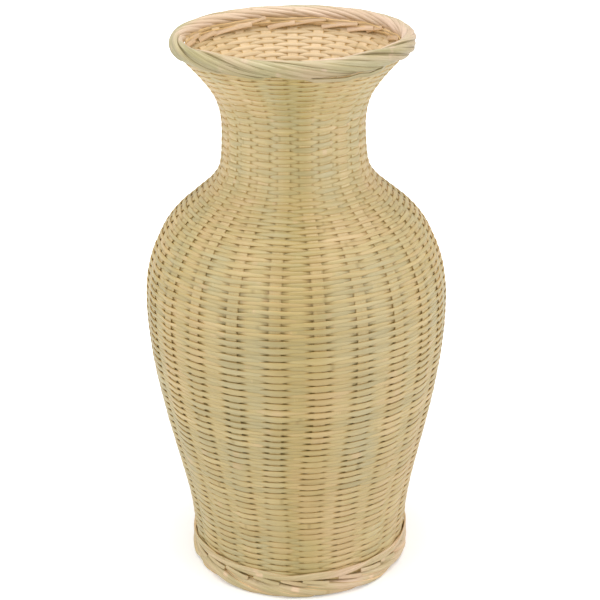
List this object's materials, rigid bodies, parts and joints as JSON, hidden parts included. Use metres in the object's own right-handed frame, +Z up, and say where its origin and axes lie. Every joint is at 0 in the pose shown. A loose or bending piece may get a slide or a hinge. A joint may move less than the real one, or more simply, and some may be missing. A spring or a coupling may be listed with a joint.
{
  "type": "woven bamboo vase",
  "caption": "Shouldered vase with a narrow neck and flared mouth, woven from split bamboo over upright stakes, with rolled borders at rim and foot.",
  "frame": {"origin": "middle of the foot on the table, at the bottom centre of the bounding box", "axes": "+Z up along the vase's axis; -Y is the side that the picture shows"},
  "size_m": [0.1624, 0.162, 0.3],
  "materials": {
    "stakes": "dry split bamboo, matt",
    "weave": "pale straw split bamboo with a fine grain, satin",
    "borders": "pale bamboo splints, smooth side out, satin",
    "hoops": "raw bamboo hoop, hidden inside the border"
  },
  "bodies": {
    "root": {"stake_01": "stakes", "stake_02": "stakes", "stake_03": "stakes", "stake_04": "stakes", "stake_05": "stakes", "stake_06": "stakes", "stake_07": "stakes", "stake_08": "stakes", "stake_09": "stakes", "stake_10": "stakes", "stake_11": "stakes", "stake_12": "stakes", "stake_13": "stakes", "stake_14": "stakes", "stake_15": "stakes", "stake_16": "stakes", "stake_17": "stakes", "stake_18": "stakes", "stake_19": "stakes", "stake_20": "stakes", "stake_21": "stakes", "stake_22": "stakes", "stake_23": "stakes", "base_plait": "stakes", "base_weave": "weave", "lower_body_weave": "weave", "belly_weave": "weave", "shoulder_weave": "weave", "shoulder_fall_weave": "weave", "collar_weave": "weave", "neck_weave": "weave", "throat_weave": "weave", "mouth_weave": "weave", "rim_core_hoop": "hoops", "rim_strand_1": "borders", "rim_strand_2": "borders", "rim_strand_3": "borders", "rim_strand_4": "borders", "rim_strand_5": "borders", "rim_strand_6": "borders", "foot_core_hoop": "hoops", "foot_strand_1": "borders", "foot_strand_2": "borders", "foot_strand_3": "borders", "foot_strand_4": "borders", "foot_strand_5": "borders"}
  },
  "joints": []
}
